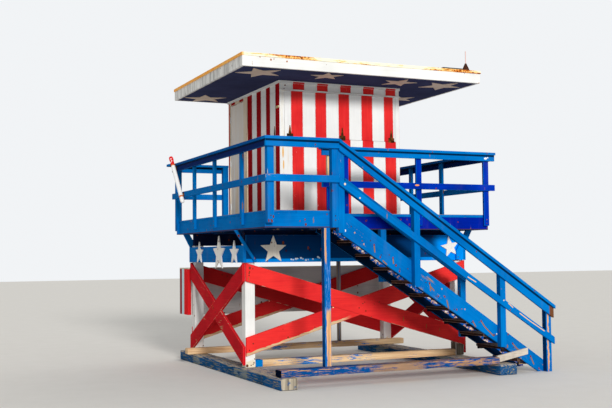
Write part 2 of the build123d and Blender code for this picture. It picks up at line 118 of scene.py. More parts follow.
class Wire:
    """A value inside a material. Plain arithmetic on it adds the Math nodes."""

    def __init__(self, look, socket):
        self.look = look
        self.socket = socket

    __add__ = __radd__ = maths("ADD")
    __mul__ = __rmul__ = maths("MULTIPLY")
    __sub__ = maths("SUBTRACT")
    __rsub__ = maths("SUBTRACT", turned_round=True)
    __gt__ = maths("GREATER_THAN")
    __lt__ = maths("LESS_THAN")
    __abs__ = maths("ABSOLUTE")

    def within(self, low, high):
        """1 between two values and 0 outside them."""
        return (self > low) * (self < high)

    def rise(self, low, high):
        """Climbs smoothly from 0 at low to 1 at high, or falls where low is the larger."""
        return self.look.node("ShaderNodeMapRange", {"interpolation_type": "SMOOTHSTEP"},
                              Value=self, From_Min=low, From_Max=high)("Result")

    def swing(self, width):
        """Noise turned to sway about 0, as wide as given."""
        return (self - 0.5) * width


class Tree:
    """The nodes of a material or a world."""

    def __init__(self, owner):
        owner.use_nodes = True
        self.tree = owner.node_tree
        self.tree.nodes.clear()

    def node(self, kind, settings=None, **sockets):
        """Adds any node: its settings first, then the values or wires of its sockets.

        A socket's name has _ for each space, or is i and its number, and a colour may be a code. The
        result is called with an output's name or number for its wire.
        """
        made = self.tree.nodes.new(kind)
        for key, value in (settings or {}).items():
            setattr(made, key, value)
        for key, value in sockets.items():
            numbered = key[0] == "i" and key[1:].isdigit()
            socket = made.inputs[int(key[1:]) if numbered else key.replace("_", " ")]
            if isinstance(value, Wire):
                self.tree.links.new(value.socket, socket)
            else:
                socket.default_value = tone(value) if isinstance(value, str) else value
        return lambda output: Wire(self, made.outputs[output])


class Look(Tree):
    """A material being put together from expressions.

    Once timber has started it, colour, height and rough are what lies on it so far.
    """

    def __init__(self, name):
        self.material = bpy.data.materials.new(name)
        super().__init__(self.material)
        self.place = self.node("ShaderNodeTexCoord")("Object")
        split = self.node("ShaderNodeSeparateXYZ", Vector=self.place)
        self.x = split("X") - float(CORNER[0])
        self.y = split("Y") - float(CORNER[1])
        self.z = split("Z")

    def sums(self, operation, *values):
        return self.node("ShaderNodeMath", {"operation": operation},
                         **{f"i{n}": value for n, value in enumerate(values)})("Value")

    def most(self, first, second):
        return self.sums("MAXIMUM", first, second)

    def least(self, first, second):
        return self.sums("MINIMUM", first, second)

    def blend(self, share, under, over):
        """The colour under, covered by the colour over where share is 1."""
        return self.node("ShaderNodeMix", {"data_type": "RGBA"}, i0=share, i6=under, i7=over)(2)

    def cover(self, share, tint):
        """Lays a colour on top where share is 1."""
        self.colour = self.blend(share, self.colour, tint)

    def lie(self, along):
        """Coordinates along, across and through a board that runs along x, y, z or the stair."""
        x, y, z = self.x, self.y, self.z
        if along == "stair":
            turn = math.atan(STAIR_SLOPE)
            return (x * math.cos(turn) - z * math.sin(turn), x * math.sin(turn) + z * math.cos(turn), y)
        return {"x": (x, z, y), "y": (y, z, x), "z": (z, x, y)}[along]

    def drawn_out(self, factors, place=None):
        """Three coordinates, x, y and z unless others are given, each times its own factor."""
        x, y, z = (value * factor for value, factor in zip(place or (self.x, self.y, self.z), factors))
        return self.node("ShaderNodeCombineXYZ", X=x, Y=y, Z=z)("Vector")

    def noise(self, place, scale, detail, rough):
        return self.node("ShaderNodeTexNoise", Vector=place, Scale=scale, Detail=detail,
                         Roughness=rough)("Fac")

    def cloud(self, scale, detail=3.0, rough=0.55):
        """Soft noise from 0 to 1, mostly near a half."""
        return self.noise(self.place, scale, detail, rough)

    def grain(self, factors, detail, rough=0.55, place=None):
        """The same noise on coordinates that are drawn out by factors."""
        return self.noise(self.drawn_out(factors, place), 1.0, detail, rough)

    def cells(self, factors):
        """Distance to the nearest of many scattered points."""
        return self.node("ShaderNodeTexVoronoi", Vector=self.drawn_out(factors), Scale=1.0)("Distance")

    def ragged(self):
        """About 1, a little more or less from place to place, to roughen the rim of a mark."""
        return self.cloud(70).swing(0.9) + 1.0

    def marks(self, spots, tall=1.7, across=None):
        """The share of single ragged marks, each its place across, height and size in millimetres."""
        gaps = []
        for place, height, size in np.array(spots) / 1000:
            aside = ((across or self.x) - place) * (1 / size)
            up = (self.z - height) * (1 / (size * tall))
            gaps.append(aside * aside + up * up)
        return (reduce(self.least, gaps) * self.ragged()).rise(1.2, 0.75)

    def mark(self, tint, spots, tall=1.7):
        """Lays single marks of one colour on top."""
        self.cover(self.marks(spots, tall), tint)

    def streaks(self, lines, width):
        """The share of ragged lines, each between two points given as x and height in millimetres."""
        gaps = []
        for start, top, end, foot in np.array(lines) / 1000:
            run, drop = end - start, foot - top
            square = run * run + drop * drop
            share = (self.x - start) * (run / square) + (self.z - top) * (drop / square)
            share = self.least(self.most(share, 0.0), 1.0)
            aside = self.x - start - share * run
            up = self.z - top - share * drop
            gaps.append(aside * aside + up * up)
        return (reduce(self.least, gaps) * (1 / width ** 2) * self.ragged()).rise(1.25, 0.7)

    def bare(self, woods, along):
        """Unpainted board: long fine grain between two browns. Gives its colour and its grain."""
        board = self.lie(along)
        lines = self.grain((1.6, 46, 46), 5.0, 0.65, board)
        broad = self.grain((0.7, 9, 9), 2.0, place=board)
        return self.blend((lines * 0.75 + broad * 0.5).rise(0.46, 0.84), *woods), lines

    def painted(self, coat, along="x", worn=0.0, rust=0.0, woods=WOODS, grime=0.12):
        """The colour, height and roughness of painted timber.

        Brushed paint that has faded in patches, gathered grime, flaked to the wood and run with rust.
        """
        board = self.lie(along)
        wood, lines = self.bare(woods, along)
        brush = self.grain((2.5, 60, 60), 4.0, 0.7, board)
        colour = self.blend((brush * 0.45 + self.cloud(1.7) * 0.75).rise(0.42, 0.82), *coat)
        dirt = self.grain((5, 5, 1.4), 5.0, 0.7)
        colour = self.blend(dirt.rise(0.5, 0.85) * grime, colour, WOODS[1])
        flake = self.grain((3.2, 34, 34), 7.0, 0.74, board)
        bare = (flake * 0.62 + self.cloud(1.3, 2.0) * 0.46 + worn - 0.5).rise(0.135, 0.165)
        colour = self.blend(bare, colour, wood)
        if rust:
            wobble = self.cloud(55)
            spread = self.cloud(2.3, 1.0) * 0.10 * rust
            spots = (self.cells((7.5, 7.5, 5.5)) + wobble * 0.12 - spread).rise(0.125, 0.100)
            runs = (self.cells((9.5, 9.5, 1.7)) + wobble * 0.16 - spread).rise(0.145, 0.105)
            colour = self.blend(spots, self.blend(runs * 0.9, colour, RUST_RUN), RUST)
        return colour, brush * 0.25 + lines * bare * 0.7 - bare * 0.5, brush * 0.15 + bare * 0.25 + 0.5

    def surface(self, colour, roughness, height=None, depth=0.002, metal=0.0, shine=0.006):
        """Ends the material with one surface, bumped by height where one is given."""
        sockets = {"Base_Color": colour, "Roughness": roughness, "Metallic": metal,
                   "Specular_IOR_Level": shine}
        if height is not None:
            sockets["Normal"] = self.node("ShaderNodeBump", Strength=0.6, Distance=depth,
                                          Height=height)("Normal")
        shader = self.node("ShaderNodeBsdfPrincipled", **sockets)("BSDF")
        self.node("ShaderNodeOutputMaterial", Surface=shader)
        return self.material

    def done(self, **ending):
        """Ends the material with what lies on it."""
        return self.surface(self.colour, self.rough, self.height, **ending)


def timber(name, coat, along="x", **wear):
    """A look that starts as painted timber."""
    look = Look(name)
    look.colour, look.height, look.rough = look.painted(coat, along, **wear)
    return look


def coated(name, coat, along="x", shine=0.006, **wear):
    """One material of painted timber."""
    return timber(name, coat, along, **wear).done(shine=shine)


def weathered(name, coat, along="x", depth=0.002, **wear):
    """Turns a function that lays more on painted timber into the finished material."""
    def finished(layers):
        look = timber(name, coat, along, **wear)
        layers(look, look.x, look.y, look.z)
        return look.done(depth=depth)
    return finished


def rusted(name, base, spot, metal, share):
    """Bare steel gone brown and orange."""
    look = Look(name)
    mottle = look.cloud(34, 6.0, 0.7)
    colour = look.blend(mottle.rise(0.35, 0.62), DARK_RUST_AND_SHADE, base)
    colour = look.blend(look.cloud(7).rise(0.5, 0.66) * share, colour, spot)
    return look.surface(colour, mottle * 0.3 + 0.55, mottle, 0.001, metal)


def plain(name, first, second, rough=0.5, scale=12.0, depth=0.0005, shine=0.4):
    """Moulded or sheet stuff in one colour that drifts a little."""
    look = Look(name)
    drift = look.cloud(scale, 5.0, 0.6)
    colour = look.blend(drift.rise(0.35, 0.7), first, second)
    return look.surface(colour, drift * 0.15 + rough, drift, depth, shine=shine)


# Red bands of the walls, their short header above the shutters, and the shutters' own
FRONT_REDS = [(0.916, 1.099), (1.306, 1.481), (1.687, 1.862), (2.070, 2.252), (2.456, 2.640)]
HEADER_REDS = [(0.930, 1.113), (1.320, 1.495), (1.702, 1.877), (2.085, 2.267), (2.470, 2.640)]
SHUTTER_REDS = [(0.901, 1.084), (1.291, 1.466), (1.672, 1.847), (2.055, 2.237), (2.441, 2.595)]
SIDE_REDS = [(0.400, 0.608), (0.819, 0.976), (1.184, 1.366), (1.562, 1.752), (2.588, 2.700)]
SIDE_HEADER = SIDE_REDS[:4] + [(1.910, 2.090), (2.290, 2.472)]
SIDE_HEAD = 4.07, 4.168
WALL_ENDS = 0.7185, 2.7015


def stripes(name, reds, header=(), head=(9.0, 9.0), across="x", coat=REDS, corner=None, beside=None,
            under=None):
    """White boards with upright red bands at the given places along x or y.

    header is a second set of bands, which take over between the two heights of head. Boards meet at the
    bands' edges. Where the wall's left end has a corner red, its right end is red too. Past and above
    the two values of beside, next to the shutter, the wall is white. under lays stains on the white.
    """
    look = timber(name, (WHITES[0], "eae9e5"), "z", worn=-0.10, grime=0.05)
    red = look.painted(coat, "z", worn=-0.06, woods=WHITES, grime=0.06)[0]
    place = look.x if across == "x" else look.y
    edge = place + look.cloud(30, 2.0).swing(0.008)
    mask = sum(edge.within(*band) for band in reds) * (1 - (look.z > head[0]))
    if beside:
        mask = mask * (1 - (look.x > beside[0]) * (look.z > beside[1]))
    mask = mask + sum(edge.within(*band) for band in header) * look.z.within(*head)
    if corner:
        mask = look.most(mask, look.most(look.x < WALL_ENDS[0], look.x > WALL_ENDS[1]))
    if under:
        under(look)
    look.cover(mask, red)
    if corner:
        look.cover(look.x < WALL_ENDS[0], corner)
    grooves = [abs(place - side) < 0.0022 for low, high in reds for side in (low - 0.003, high + 0.003)]
    if grooves:
        groove = reduce(look.most, grooves)
        look.cover(groove * 0.4, WOODS[1])
        look.height = look.height - groove * 0.6
    return look.done()


def wall_stains(look):
    """Rust run down the front wall's left end, and a few stained nails."""
    near = look.x.rise(0.90, 0.80) * look.z.rise(2.5, 3.3) * (look.x > WALL_ENDS[0])
    drip = look.grain((30, 30, 2.2), 4.0)
    look.cover(near * drip.rise(0.55, 0.64) * 0.45, ORANGE)
    look.cover(near * drip.rise(0.42, 0.6) * 0.2, "eed682")
    look.mark("ecb054", [(768, 3160, 12), (776, 2980, 10), (800, 3440, 10)], 7.0)
    look.mark(RUST, [(808, 4141, 12), (792, 4093, 8)], 0.9)
    look.mark(ORANGE, [(2376, 4045, 10)])


def drip_strip():
    """Cream-white metal strip at the roof's edge with orange rust creeping along it."""
    look = Look("roof edge strip")
    fine = look.cloud(42, 4.0)
    right = look.x.rise(2.4, 3.2) * 0.13
    near = look.x.rise(0.25, 0.5) * look.x.rise(1.1, 0.8) * 0.13
    heavy = look.grain((2.6, 2.6, 22), 5.0, 0.7) + right + near - 0.07
    look.colour = look.blend(heavy.rise(0.44, 0.52) * 0.9, "fcf4d6", "facd6e")
    look.cover((heavy * 0.8 + fine * 0.3).rise(0.56, 0.62), ORANGE)
    look.cover((heavy * 0.7 + fine * 0.5).rise(0.66, 0.72), RUST)
    side = look.blend(fine.rise(0.4, 0.6), "ffc460", "ff9c30")
    look.cover(look.x.rise(-0.13, -0.17) * 0.92, side)
    return look.surface(look.colour, fine * 0.3 + 0.45, fine, 0.001)


def mast_paint():
    """Rusty brown below, and faded pink from a height on."""
    look = Look("mast")
    mottle = look.cloud(60, 4.0)
    colour = look.blend(mottle.rise(0.4, 0.6), "2c221e", "5c3424")
    colour = look.blend(look.z > ROOF_TOP + 0.114, colour, "e8c4bc")
    return look.surface(colour, mottle * 0.3 + 0.4, mottle, 0.001)


def tube_foam():
    """White foam, red above a height with white dots on its front left side."""
    look = Look("tube foam")
    dots = [(-1323, 3234, 10), (-1310, 3199, 10), (-1322, 3174, 9)]
    dotted = look.marks(dots, 1.0, look.x * 0.91 - look.y * 0.41)
    red = look.blend(dotted, "e21a1e", WHITES[0])
    drift = look.cloud(12, 5.0)
    white = look.blend(drift, "f8f7f4", "e8e6e2")
    colour = look.blend(look.z > 3.124, white, red)
    return look.surface(colour, drift * 0.15 + 0.35, drift, 0.0005, shine=0.15)


def cap_paint(along, coat):
    """Blue cap whose underside is darkened as painted shade."""
    look = timber("cap paint along " + along, coat, along, worn=-0.05, rust=0.3)
    look.cover((look.z < CAP_BOTTOM + 0.002) * 0.9, NIGHT_BLUE)
    return look.done()


@weathered("rail paint along x", SKY, worn=-0.05, rust=0.5)
def rail_paint(look, x, y, z):
    """Rails along x: deep blue on the set-back deck, scuffed and chipped once, painted shadow under the
    cap.
    """
    set_back = (x > 0.95) * (y > -0.53) * (z < 3.0)
    look.cover(set_back, look.painted(SEA, worn=-0.05, rust=0.5)[0])
    look.mark("faa054", [(2430, 2648, 34)], 0.35)
    look.mark(WHITES[0], [(3604, 3067, 26), (3640, 3080, 14)], 0.6)
    # Painted shadow of the cap on the board below it
    look.cover(z.rise(CAP_BOTTOM - 0.030, CAP_BOTTOM - 0.022) * 0.9, NIGHT_BLUE)


@weathered("rail paint along y", SKY, "y", worn=-0.05, rust=0.8)
def side_rail_paint(look, x, y, z):
    """Sky blue rails along y in painted shade, darkest on the top board, with a painted shadow under the
    cap.
    """
    # Painted shade: the whole side a little darker, the top board much darker, and the cap's shadow
    look.cover(0.12, SHADE_BLUE)
    look.cover(z > 2.9, "01225c")
    look.cover(z.rise(CAP_BOTTOM - 0.030, CAP_BOTTOM - 0.022) * 0.7, NIGHT_BLUE)


def rim_paint(along, rust):
    """Rims, brown at the foot. Along x they have nails and turn deep blue at the set-back deck."""
    look = timber("rim paint along " + along, SKY, along, worn=-0.05, rust=rust)
    if along == "x":
        set_back = (look.x > 0.95) * look.y.within(-0.53, 0.0)
        deep = "00229e", "001a80"
        look.cover(set_back, look.painted(deep, worn=-0.05, rust=rust)[0])
        look.mark(RUST, [(369, 2119, 10), (380, 2056, 13), (299, 2100, 8), (679, 2192, 10),
                         (1639, 2136, 9), (3155, 2130, 9), (2300, 2160, 8)], 1.4)
    look.cover(look.z.rise(RIM_BOTTOM + 0.018, RIM_BOTTOM + 0.010), "4a2410")
    return look.done()


@weathered("rail post paint", SKY, "z", worn=-0.04, rust=1.2)
def rail_post_paint(look, x, y, z):
    """Posts: deep blue on the set-back deck, one bare tan top in painted light, rust at the corner post's
    foot.
    """
    set_back = (x > 0.95) * y.within(-0.48, -0.2)
    look.cover(set_back, look.painted(SEA, "z", worn=-0.04, rust=0.6)[0])
    # Its tan top is bare wood paled as painted light, ending at the height where the landing's shadow
    # falls
    first = x.within(1.02, 1.13) * set_back * z.rise(2.60, 2.66)
    look.cover(first, look.bare(("fcdea2", "e2ba7c"), "z")[0])
    front = look.marks([(-162, 2100, 10), (-120, 2090, 12), (-100, 2150, 9)], 2.2)
    look.cover((y < -1.2) * x.within(-0.2, 0.0) * front, RUST)
    side = look.marks([(-385, 2140, 9), (-422, 2072, 9)], 1.2, y)
    look.cover((x < -0.170) * side, RUST)


# The near stair side's nails: rusted heads, paler spots, and runs from one point to the next
NAIL_HEADS = [(1358, 1793), (1447, 1632), (1638, 1620), (1733, 1442), (1996, 1423),
              (2193, 1276), (2325, 1094), (2430, 1086), (2616, 909), (2872, 740),
              (3006, 742), (3523, 411), (3824, 216), (3965, 42), (885, 2146)]
TAN_SPOTS = [(1075, 1952), (1207, 1804), (2385, 1194), (2746, 910), (3389, 518),
             (3659, 192)]
NAIL_RUNS = [(1358, 1780, 1368, 1700), (1638, 1610, 1644, 1548),
             (1996, 1410, 2000, 1379), (2031, 1317, 2031, 1230),
             (2193, 1276, 2205, 1231), (2205, 1231, 2207, 1176),
             (2205, 1231, 2260, 1175), (2461, 1038, 2489, 918),
             (2872, 740, 2915, 670), (3006, 742, 3065, 659),
             (3065, 659, 3201, 533), (3523, 411, 3618, 311),
             (3436, 390, 3436, 360), (3824, 216, 3875, 107),
             (1487, 1584, 1540, 1537)]


@weathered("stair side paint", SKY, "stair", rust=0.7)
def stringer_paint(look, x, y, z):
    """Stair sides: rusted nails and runs outside; the far side in painted shade, its peeled band painted
    lit.
    """
    # The far side's paint darkened almost wholly, as painted shade
    far_side_shade = look.blend(0.96, look.colour, NIGHT_BLUE)
    peeling = look.grain((19, 19, 24), 4.0, 0.7)
    peeled = look.blend(peeling.rise(0.51, 0.56), "065ab2", "e0a46a")
    peeled = look.blend(peeling.rise(0.57, 0.62), peeled, "fcf6ec")
    # The peeled band stands where sunlight fell: peeled paint shown lit, as painted light
    over = z + x * 0.64 - 2.673
    band = (abs(over) + look.cloud(9).swing(0.06)).rise(0.034, 0.024)
    look.cover(look.streaks(NAIL_RUNS, 0.0085), RUST_RUN)
    look.mark("c89660", [(*spot, 9) for spot in TAN_SPOTS], 1.3)
    look.mark("802e0a", [(*spot, 10) for spot in NAIL_HEADS], 1.5)
    look.mark("eceee8", [(939, 1979, 11), (3258, 551, 9)], 1.5)
    look.cover(y > -0.9, look.blend(band, far_side_shade, peeled))


@weathered("stair rail paint", SKY, "stair", worn=-0.03, rust=0.4)
def stair_rail_paint(look, x, y, z):
    """Stair rails: painted shadow under the cap, a worn line on the near mid rail and a rotten top board
    end.
    """
    near = y < -1.25
    below_cap = x * RAIL_SLOPE + z - CAP_LINE
    # Painted shadow of the cap on the near board
    look.cover(below_cap.rise(-0.034, -0.026) * near * 0.9, NIGHT_BLUE)
    lines = look.streaks([(3563, 834, 3731, 722), (3731, 722, 3973, 575),
                          (3379, 977, 3449, 918), (2722, 1351, 2849, 1281)], 0.006)
    look.cover(near * lines, "f4c48c")
    chips = look.marks([(879, 2573, 14), (1093, 2397, 10), (3300, 1020, 9), (3232, 890, 8)], 1.1)
    look.cover(near * chips, "f0d8b2")
    end = x.rise(4.055, 4.085) * (below_cap < -0.02) * (z > 0.7)
    look.cover(end * near, "70462c")


@weathered("stair post paint", SKY, "z", worn=-0.02, rust=0.9)
def stair_post_paint(look, x, y, z):
    """Stair posts: a strip worn to the wood down the bottom post's front, and painted shade on the left
    face.
    """
    near = y < -1.2
    torn = x + look.grain((12, 12, 6), 5.0, 0.7).swing(0.07)
    flakes = look.grain((60, 60, 7), 5.0, 0.7).rise(0.40, 0.46)
    strip = torn.rise(4.046, 4.052) * torn.rise(4.080, 4.074) * near * (z < 0.86)
    look.cover(strip * flakes, look.bare(("f6be82", "ce8c5a"), "z")[0])
    # Painted shade on the left face
    look.cover(x.within(4.0, 4.0365) * near * 0.75, SHADE_BLUE)


@weathered("knee brace paint", SKY, "z", worn=-0.02, rust=1.5)
def knee_paint(look, x, y, z):
    """Knee braces, with painted light on the right, where the board stands before the lit end of the
    panel.
    """
    look.mark("be5c1e", [(118, 1640, 13), (85, 1700, 8)], 1.2)
    # Painted light at the right
    look.cover((x > 3.2) * (y < 0) * (z < 1.95) * 0.8, LIT_BLUE)


@weathered("star panel paint", SKY, worn=-0.04, rust=1.5)
def panel_paint(look, x, y, z):
    """Star panel: painted light at foot and right, painted deck shadow, rust, white flakes at the foot's
    left.
    """
    # Painted light along the foot, below the deck's shadow line
    look.cover(z.rise(1.632, 1.615) * 0.8, "0094f8")
    # Painted light at the right end, out of the deck's shadow
    right = x.rise(2.9, 3.1)
    look.cover(right, LIT_BLUE)
    # Painted shadow of the deck over the rest
    lee = z.rise(1.615, 1.632) * (1 - right) * (z.rise(1.62, 1.95) * 0.12 + 0.76)
    look.cover(lee, SHADE_BLUE)
    look.mark("e4eef6", [(672, 1612, 14), (700, 1606, 12), (742, 1618, 18), (765, 1622, 13),
                         (818, 1629, 16), (846, 1618, 12), (894, 1600, 16), (930, 1606, 10),
                         (1002, 1613, 14), (1080, 1640, 18), (1100, 1628, 12), (1141, 1598, 14)], 0.8)
    look.mark("844226", [(550, 1840, 16), (930, 1770, 14), (1130, 1750, 13), (310, 1600, 12),
                         (1900, 1710, 14), (2900, 1800, 12)])


@weathered("star paint", ("fcfaf6", "ece8e0"), "z", worn=-0.05, rust=1.1)
def star_paint(look, x, y, z):
    """White stars, beige as painted shade on the front panel except at its lit right end."""
    # Painted shade: the front panel's stars beige
    shaded_beige = look.painted(("f8f0e0", "ded0bc"), "z", worn=-0.02, rust=1.3)[0]
    look.cover(x.within(0.2, 2.9) * (y < -0.01), shaded_beige)


@weathered("white leg paint", ("f0efea", "deddd8"), "z", worn=-0.02, rust=0.5)
def leg_paint(look, x, y, z):
    """White legs: brown spots and cream wood at the feet, and a bare grey foot at the front right."""
    peeled = z + look.cloud(16, 5.0, 0.7).swing(0.22)
    look.cover(peeled.rise(0.255, 0.235), "e8dcc0")
    look.mark("60361e", [(131, 264, 10), (120, 210, 10), (79, 179, 9), (108, 190, 8),
                         (20, 175, 20)], 1.0)
    grey = look.bare(("807668", "4a423a"), "z")[0]
    look.cover(peeled.rise(0.36, 0.33) * (x > 3.0) * (y < 1.0), grey)


@weathered("red brace paint", REDS, worn=-0.05, grime=0.05, rust=0.4)
def brace_paint(look, x, y, z):
    """Red braces, bare along the lower edge of the front board that climbs to the right."""
    # The back braces take the red darkened as painted shade
    look.cover((y > 2) * 0.45, SHADED_REDS[0])
    over = z - x * 0.29 - 0.305
    torn = over + look.grain((3, 3, 12), 5.0, 0.7).swing(0.09)
    strip = torn.rise(0.044, 0.038) * (over > -0.02) * x.rise(1.62, 1.40)
    look.cover(strip, look.bare(("e8c89c", "b08c68"), "x")[0])
    look.mark("6e3c28", [(55, 1500, 16), (45, 1430, 10), (2050, 980, 10), (1020, 660, 8)], 1.2)
    # A bolt hole: its dark is painted shade, and the pale mark beside it is a painted highlight
    look.mark(DARK_RUST_AND_SHADE, [(1283, 935, 16)], 1.1)
    look.mark("fff4c8", [(1308, 930, 10)], 1.1)


@weathered("prop paint", ("0664b8", SKY[1]), "z", rust=0.4)
def prop_paint(look, x, y, z):
    """Blue landing prop, bare in a strip near its top and over most of its foot, and a grey back one."""
    wood, lines = look.bare(("f0bc84", "b07c56"), "z")
    flakes = look.grain((90, 90, 7), 5.0, 0.7)
    look.cover(flakes.rise(0.54, 0.60) * z.rise(1.6, 1.5) * 0.7, "96bae2")
    tear = look.grain((14, 14, 4), 5.0, 0.7).swing(0.05)
    across = x + tear - PROP_LEFT
    up = z + tear * 6
    top = across.rise(0.004, 0.009) * across.rise(0.034, 0.029) * up.rise(1.52, 1.58)
    foot = across.rise(0.022, 0.028) * up.rise(1.00, 0.92) * flakes.rise(0.36, 0.42)
    gone = look.most(top, foot)
    look.cover(gone, wood)
    # Painted shade on the left face
    look.cover((x < PROP_LEFT + 0.0015) * 0.6, SHADE_BLUE)
    look.cover(x > 1.5, look.bare(("b0a496", "6c6258"), "z")[0])
    look.height = look.height + lines * gone * 0.4


@weathered("door paint", ("f0eae2", "e8e0d6"), "z", worn=-0.12)
def door_paint(look, x, y, z):
    """Off-white door with faint cream runs down its boards."""
    runs = look.grain((2, 22, 0.5), 3.0, 0.6).rise(0.50, 0.60)
    look.cover(runs * (z.rise(3.3, 2.9) * 0.35 + 0.12), "e8be78")


@weathered("casing paint", ("f0e0c8", "e0caaa"), "z", worn=-0.04, rust=0.5)
def casing_paint(look, x, y, z):
    """Cream casing, red at its back, whose head carries on the wall's red bands."""
    look.cover(y > 2.548, BACK_RED)
    # The head's bands take the red darkened as painted shade, as on the side wall
    for band in SIDE_HEADER[4:]:
        look.cover(y.within(*band) * z.within(4.124, 4.170), SHADED_REDS[0])


@weathered("fascia paint", WHITES, worn=-0.08, rust=0.35, grime=0.08)
def long_fascia_paint(look, x, y, z):
    """White roof edge board with stained nails."""
    look.mark("b0704c", [(249, 4314, 13), (485, 4307, 12), (90, 4339, 8), (293, 4327, 8),
                         (3602, 4210, 10)], 1.2)


@weathered("fascia paint at the side", WHITES, worn=-0.08, rust=0.35, grime=0.08)
def side_fascia_paint(look, x, y, z):
    """White roof edge board with upright weather lines."""
    lines = look.grain((2, 15, 1.5), 4.0, 0.75)
    look.cover(lines.rise(0.42, 0.66) * 0.8, "969492")
    look.height = look.height - lines.rise(0.5, 0.66) * 0.5


@weathered("box paint", ("d8d6d0", "b6b4b0"), worn=-0.03, rust=0.9)
def box_paint(look, x, y, z):
    """Grey-white box whose left end has upright bands of dark red, pale blue and bright red."""
    end = x < BOX_LEFT + 0.004
    for start, stop, coat in ((2.748, 2.842, "960e1a"), (2.640, 2.748, "c6e2ec"),
                              (2.400, 2.622, "e82228")):
        look.cover(y.within(start, stop) * end, coat)
    look.cover(x.within(BOX_LEFT + 0.004, BOX_LEFT + 0.05), "ce1e24")


@weathered("skid timber", ("0e5892", "1a4260"), "y", worn=-0.02,
           woods=("ceba98", "605c50"), grime=0.3, depth=0.006)
def skid_paint(look, x, y, z):
    """Blue skids with grey washes, dark and bare streaks, a pale top corner and a bare front end."""
    streak = look.grain((40, 4, 60), 6.0, 0.7)
    washed = look.bare(("969c96", "56686c"), "y")[0]
    for middle, reach in ((0.09, 0.30), (2.05, 0.22)):
        around = abs(y - middle).rise(reach + 0.1, reach - 0.1)
        look.cover((around * 0.5 + streak).rise(0.88, 1.0) * 0.7, washed)
    look.cover(streak.rise(0.54, 0.60) * 0.75, "968c64")
    look.cover(streak.rise(0.40, 0.34) * 0.8, "142834")
    corner = (z + look.grain((9, 2.2, 30), 5.0).swing(0.09)).rise(0.124, 0.138)
    look.cover(corner * streak.rise(0.42, 0.50) * 0.8, "c4b296")
    front = float(skid_low[1])
    end = (y + look.cloud(14).swing(0.05)).rise(front + 0.012, front + 0.004) * (x < 1)
    look.cover(end * 0.85, look.bare(("d8c8aa", "605442"), "z")[0])


@weathered("beam timber", ("044e90", "103c70"), worn=0.085, grime=0.35,
           woods=("c4946a", "765e4e"), depth=0.004)
def beam_paint(look, x, y, z):
    """Front beam blue at both ends and worn to brown between, the others bare wood with traces of blue."""
    fine = look.grain((7, 60, 60), 5.0, 0.7)
    look.colour = look.blend(fine.rise(0.45, 0.50), "044a8a", look.colour)
    brown = look.painted(("044e90", "103c70"), worn=0.18, grime=0.35, woods=("b68e6c", "746054"))[0]
    brown = look.blend(fine.rise(0.40, 0.35) * 0.8, brown, "14467c")
    other = look.painted(SKY, worn=0.17, woods=("eecea0", "be9068"))[0]
    other = look.blend(x.within(0.145, 0.250) * y.within(-0.01, 0.15), other, SKY[0])
    drifted = x + look.cloud(5, 4.0).swing(0.9)
    look.cover(drifted.rise(1.10, 1.24) * drifted.rise(2.16, 2.0), brown)
    # Painted shade on the front beam's left end face
    look.cover(x < -0.016, NIGHT_BLUE)
    look.cover(y > -0.5, other)


@weathered("deck boards", ("547696", "606468"), worn=0.12,
           woods=("b0a08c", "6e6258"), depth=0.003)
def deck_paint(look, x, y, z):
    """Worn grey-blue deck boards with sky blue on their sides."""
    side = look.painted(SKY, worn=-0.02)[0]
    look.cover(z.rise(DECK_TOP - 0.002, DECK_TOP - 0.006), side)


def dress(material, *names):
    """Gives a CAD node its material."""
    for name in names:
        data = nodes[name].data
        data.materials.clear()
        data.materials.append(material)


def place_piece(name, mesh, body="tower"):
    """Puts a finished mesh into the scene as a piece of a body."""
    piece = bpy.data.objects.new(name, mesh)
    bpy.context.scene.collection.objects.link(piece)
    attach(piece, body)
    return piece


def eased(name, face, edge=None, width=0.003, body="tower", past=None):
    """A copy of a CAD node with its loose triangles joined, its flat faces merged and its edges rounded.

    The rounded strips take the edge material, which is worn further. The copy stands for the node. Timbers
    that lie wholly past a given x and y, such as one the real stair has lost, are left out of it.
    """
    mesh = nodes[name].data.copy()
    shape = bmesh.new()
    shape.from_mesh(mesh)
    bmesh.ops.remove_doubles(shape, verts=shape.verts, dist=0.00005)
    if past:
        lost = [corner for corner in shape.verts
                if corner.co.x > past[0] + CORNER[0] and corner.co.y > past[1] + CORNER[1]]
        bmesh.ops.delete(shape, geom=lost, context="VERTS")
    bmesh.ops.dissolve_limit(shape, angle_limit=math.radians(1), verts=shape.verts, edges=shape.edges)
    shape.to_mesh(mesh)
    shape.free()
    dressed = [face, edges.get(edge, edge)] if edge else [face]
    mesh.materials.clear()
    for material in dressed:
        mesh.materials.append(material)
    piece = place_piece(name + "_eased", mesh, body)
    rounding = piece.modifiers.new("rounding", "BEVEL")
    rounding.width, rounding.segments = width, 2
    rounding.limit_method, rounding.angle_limit = "ANGLE", math.radians(30)
    rounding.material = 1 if edge else -1
    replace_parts(piece, name)
    return piece


def swept(flat, loops):
    """Six times the signed space under closed loops of corners, fanned from each loop's first corner."""
    first = flat[loops[..., :1]]
    return (first * np.cross(flat[loops[..., 1:-1]], flat[loops[..., 2:]])).sum(axis=-1)


